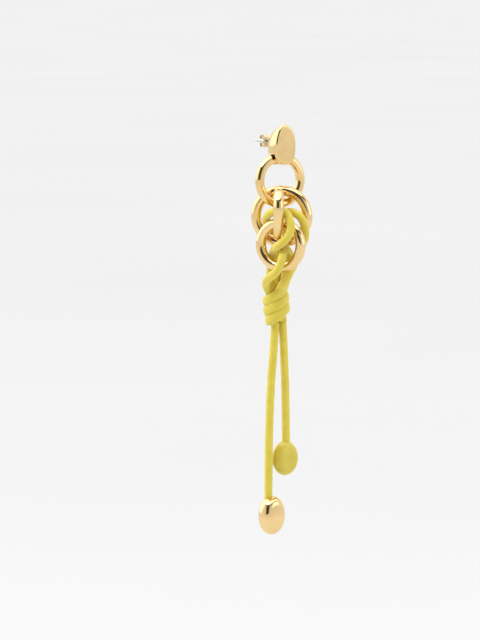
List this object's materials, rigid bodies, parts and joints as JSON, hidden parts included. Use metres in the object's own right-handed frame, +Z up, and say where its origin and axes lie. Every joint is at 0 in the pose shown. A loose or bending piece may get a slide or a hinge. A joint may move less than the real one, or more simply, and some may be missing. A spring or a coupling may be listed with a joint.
{
  "type": "drop earring",
  "caption": "Long drop earring: pebble stud with ear post and clutch, linked rings bound by a knotted cord, two tails with bead ends.",
  "frame": {"origin": "the point where the ear post leaves the back plate of the pebble", "axes": "+Y along the ear post away from the pebble's face, +Z up, +X to the right seen from the face"},
  "size_m": [0.0165, 0.0242, 0.1156],
  "materials": {
    "gold": "polished gold plate",
    "post_metal": "satin drawn wire",
    "clutch_metal": "rolled strip",
    "cord_leather": "fine-grained round leather cord",
    "yellow_lacquer": "satin lacquer"
  },
  "bodies": {
    "top": {"pebble_shell": "gold", "pebble_back_plate": "gold", "hanger_bar": "gold", "ear_post": "post_metal"},
    "clutch": {"butterfly_clutch": "clutch_metal"},
    "top_ring": {"ring_top": "gold"},
    "bundle": {"ring_large": "gold", "ring_front": "gold", "ring_lower": "gold", "cord_loop_upper": "cord_leather", "cord_loop_side": "cord_leather", "cord_loop_lower": "cord_leather", "knot_wraps": "cord_leather"},
    "long_tail": {"cord_tail_long": "cord_leather", "gold_bead": "gold"},
    "short_tail": {"cord_tail_short": "cord_leather", "yellow_bead": "yellow_lacquer"}
  },
  "joints": [
    {"name": "clutch_slide", "type": "slide", "parent": "top", "child": "clutch", "axis": [0, 1, 0], "range_m": [0, 0.0085]},
    {"name": "top_ring_swing", "type": "hinge", "parent": "top", "child": "top_ring", "pos_m": [0, -0.0022, -0.0042], "axis": [0.9962, -0.0872, 0], "range_deg": [-20, 40]},
    {"name": "bundle_swing", "type": "hinge", "parent": "top_ring", "child": "bundle", "pos_m": [0, -0.0022, -0.0173], "axis": [0.9962, -0.0872, 0], "range_deg": [-13, 13]},
    {"name": "long_tail_swing", "type": "hinge", "parent": "bundle", "child": "long_tail", "pos_m": [-0.00185, -0.0026, -0.0522], "axis": [1, 0, 0], "range_deg": [-45, 45]},
    {"name": "short_tail_swing", "type": "hinge", "parent": "bundle", "child": "short_tail", "pos_m": [0.00062, -0.0026, -0.0522], "axis": [1, 0, 0], "range_deg": [-45, 45]}
  ]
}
